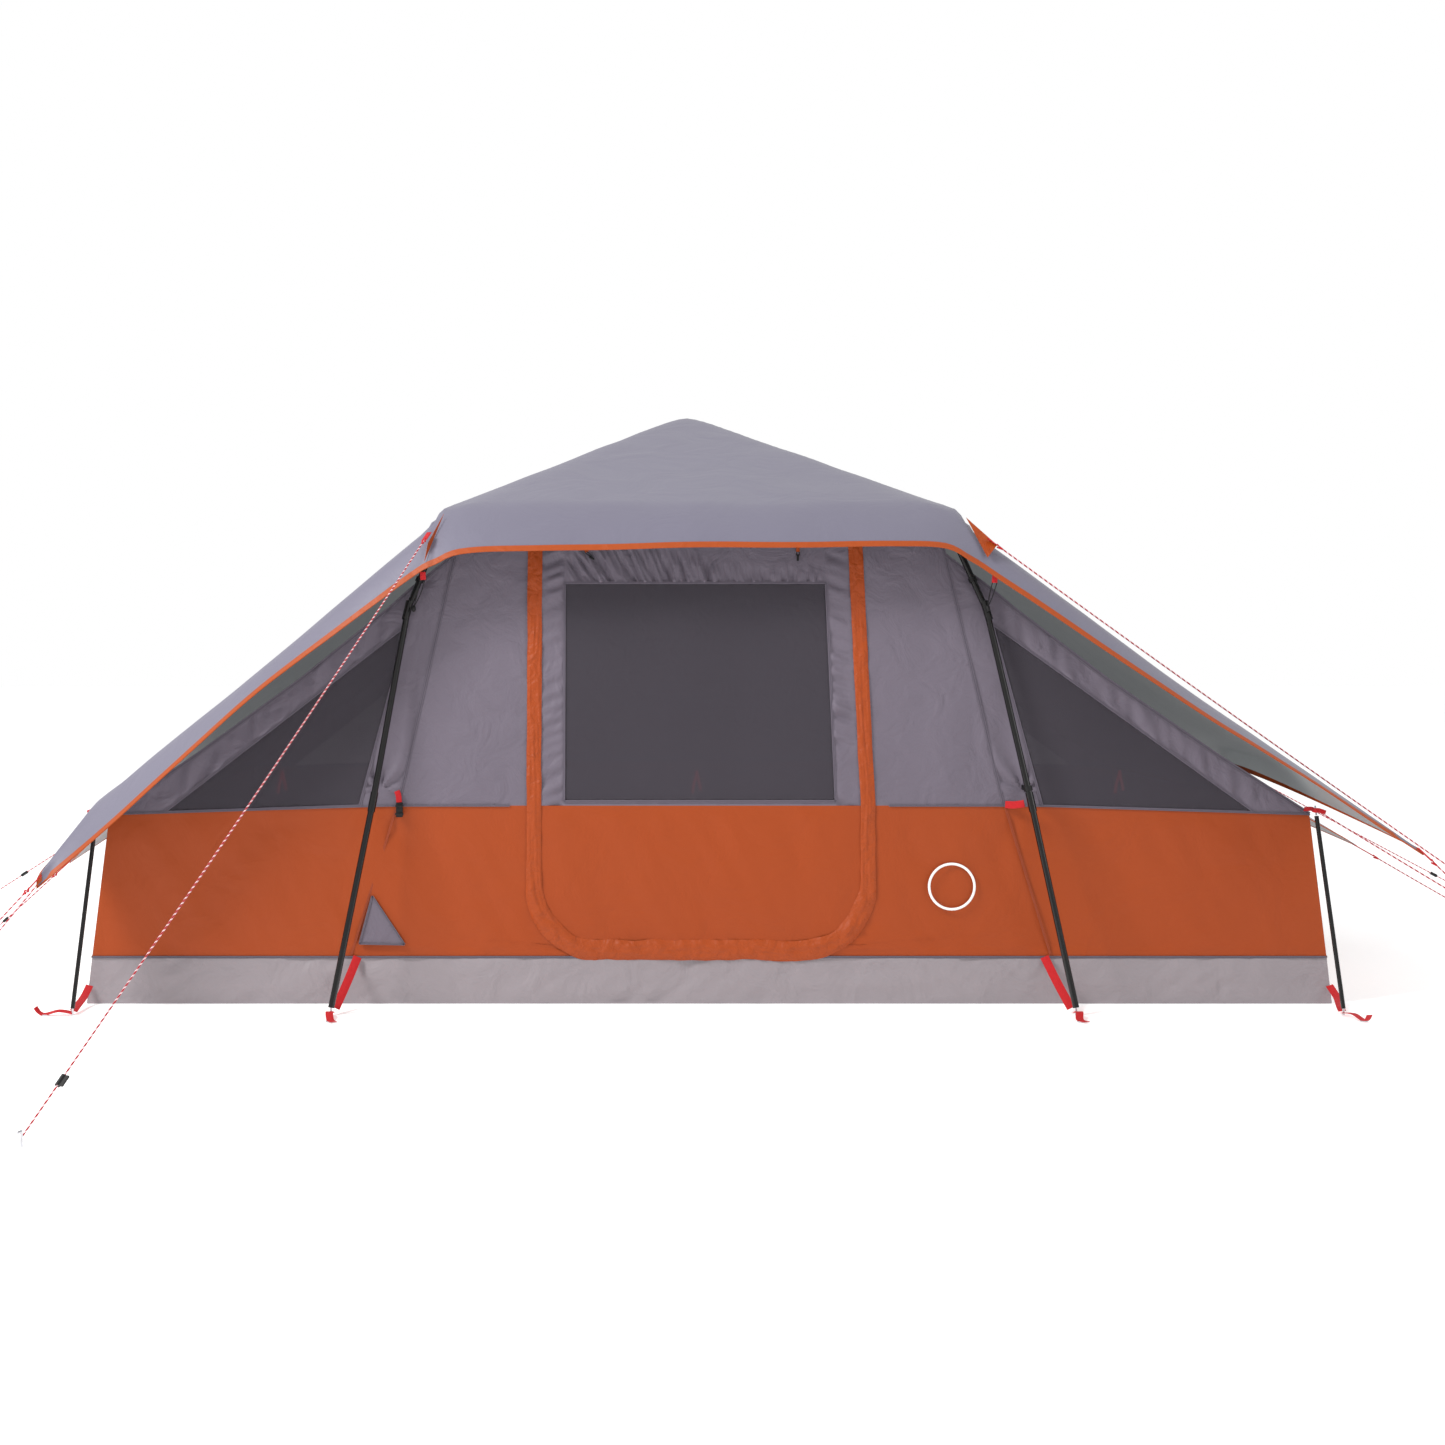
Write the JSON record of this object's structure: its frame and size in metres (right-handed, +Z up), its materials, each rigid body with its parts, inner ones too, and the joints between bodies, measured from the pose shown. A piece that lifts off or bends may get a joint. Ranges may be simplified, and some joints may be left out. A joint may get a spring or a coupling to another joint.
{
  "type": "frame tent",
  "caption": "Family frame tent: a pyramid-roofed cabin with a low sloping wing on each side, under a guyed outer fly, with a roll-up front door.",
  "frame": {"origin": "middle of the floor's underside, on the ground", "axes": "+Z up, +X to the right seen from the front, the door faces -Y"},
  "size_m": [7.43, 5.2153, 2.2472],
  "materials": {
    "tub_cloth": "coated groundsheet cloth, satin",
    "orange_cloth": "coated polyester, plain weave, satin",
    "wall_cloth": "breathable polyester, plain weave, matte",
    "mesh": "fine insect mesh over a dark panel",
    "flap_cloth": "coated polyester, crinkled, satin",
    "fly_cloth": "coated polyester, plain weave, satin",
    "webbing": "woven polyester webbing",
    "pole_black": "black powder coat on steel tube",
    "black_plastic": "moulded, fine grain",
    "steel": "zinc plated",
    "guy_cord": "braided polyester cord, red with white flecks"
  },
  "bodies": {
    "tent": {"groundsheet": "tub_cloth", "tub_band": "tub_cloth", "lower_wall_front": "orange_cloth", "lower_wall_back": "orange_cloth", "lower_walls_side": "orange_cloth", "cabin_panels_front": "wall_cloth", "cabin_panel_back": "wall_cloth", "wing_walls_front": "wall_cloth", "wing_walls_back": "wall_cloth", "wing_mesh_front": "mesh", "wing_mesh_back": "mesh", "inner_roof_cabin": "wall_cloth", "inner_roof_wings": "wall_cloth", "fly_crown": "fly_cloth", "fly_wing_left": "fly_cloth", "fly_wing_right": "fly_cloth", "tie_tabs": "webbing", "hub": "black_plastic", "roof_poles": "pole_black", "leg_front_left": "pole_black", "leg_front_right": "pole_black", "leg_back_left": "pole_black", "leg_back_right": "pole_black", "corner_elbows": "black_plastic", "pole_ferrules": "pole_black", "wing_posts": "pole_black", "foot_pins": "steel", "foot_rings": "steel", "foot_straps": "webbing", "hook_clips": "black_plastic", "guy_eave_front_left": "guy_cord", "guy_eave_front_right": "guy_cord", "guy_eave_back_left": "guy_cord", "guy_eave_back_right": "guy_cord", "guy_post_front_left": "guy_cord", "guy_post_front_right": "guy_cord", "guy_post_back_left": "guy_cord", "guy_post_back_right": "guy_cord", "guy_fly_front_left": "guy_cord", "guy_fly_front_right": "guy_cord", "guy_fly_back_left": "guy_cord", "guy_fly_back_right": "guy_cord", "guy_mid_left": "guy_cord", "guy_mid_right": "guy_cord", "short_line_runners": "black_plastic", "pegs": "steel"},
    "door": {"door_lower_panel": "orange_cloth", "door_upper_frame": "wall_cloth", "door_mesh": "mesh", "door_zip_flap": "flap_cloth"},
    "toggle_left": {"toggle_left": "black_plastic"},
    "toggle_right": {"toggle_right": "black_plastic"},
    "pull_door": {"window_pull_door": "webbing"},
    "pull_left": {"window_pull_left": "webbing"},
    "pull_right": {"window_pull_right": "webbing"},
    "loose_clip": {"loose_clip": "black_plastic"},
    "runner_front_left": {"runner_front_left": "black_plastic"},
    "runner_front_right": {"runner_front_right": "black_plastic"},
    "runner_back_left": {"runner_back_left": "black_plastic"},
    "runner_back_right": {"runner_back_right": "black_plastic"}
  },
  "joints": [
    {"name": "door_fold", "type": "hinge", "parent": "tent", "child": "door", "pos_m": [-0.03, -1.3089, 1.64], "axis": [-1, 0, 0], "range_deg": [0, 70]},
    {"name": "toggle_left_swing", "type": "hinge", "parent": "door", "child": "toggle_left", "pos_m": [-0.44, -1.3198, 1.625], "axis": [-1, 0, 0], "range_deg": [0, 75]},
    {"name": "toggle_right_swing", "type": "hinge", "parent": "door", "child": "toggle_right", "pos_m": [0.32, -1.3198, 1.625], "axis": [-1, 0, 0], "range_deg": [0, 75]},
    {"name": "pull_door_swing", "type": "hinge", "parent": "door", "child": "pull_door", "pos_m": [-0.044, -1.3737, 0.823], "axis": [1, 0, 0], "range_deg": [0, 60]},
    {"name": "pull_left_swing", "type": "hinge", "parent": "tent", "child": "pull_left", "pos_m": [-1.514, -1.3737, 0.823], "axis": [1, 0, 0], "range_deg": [0, 60]},
    {"name": "pull_right_swing", "type": "hinge", "parent": "tent", "child": "pull_right", "pos_m": [1.455, -1.3737, 0.823], "axis": [1, 0, 0], "range_deg": [0, 60]},
    {"name": "loose_clip_swing", "type": "hinge", "parent": "tent", "child": "loose_clip", "pos_m": [-1.095, -1.412, 0.747], "axis": [-1, 0, 0], "range_deg": [0, 75]},
    {"name": "runner_front_left_slide", "type": "slide", "parent": "tent", "child": "runner_front_left", "axis": [-0.3124, -0.7422, -0.5929], "range_m": [-0.15, 0.1]},
    {"name": "runner_front_right_slide", "type": "slide", "parent": "tent", "child": "runner_front_right", "axis": [0.8233, -0.0275, -0.5669], "range_m": [-0.15, 0.1]},
    {"name": "runner_back_left_slide", "type": "slide", "parent": "tent", "child": "runner_back_left", "axis": [-0.8426, 0.0103, -0.5385], "range_m": [-0.15, 0.1]},
    {"name": "runner_back_right_slide", "type": "slide", "parent": "tent", "child": "runner_back_right", "axis": [0.8844, 0.0075, -0.4666], "range_m": [-0.15, 0.1]}
  ]
}
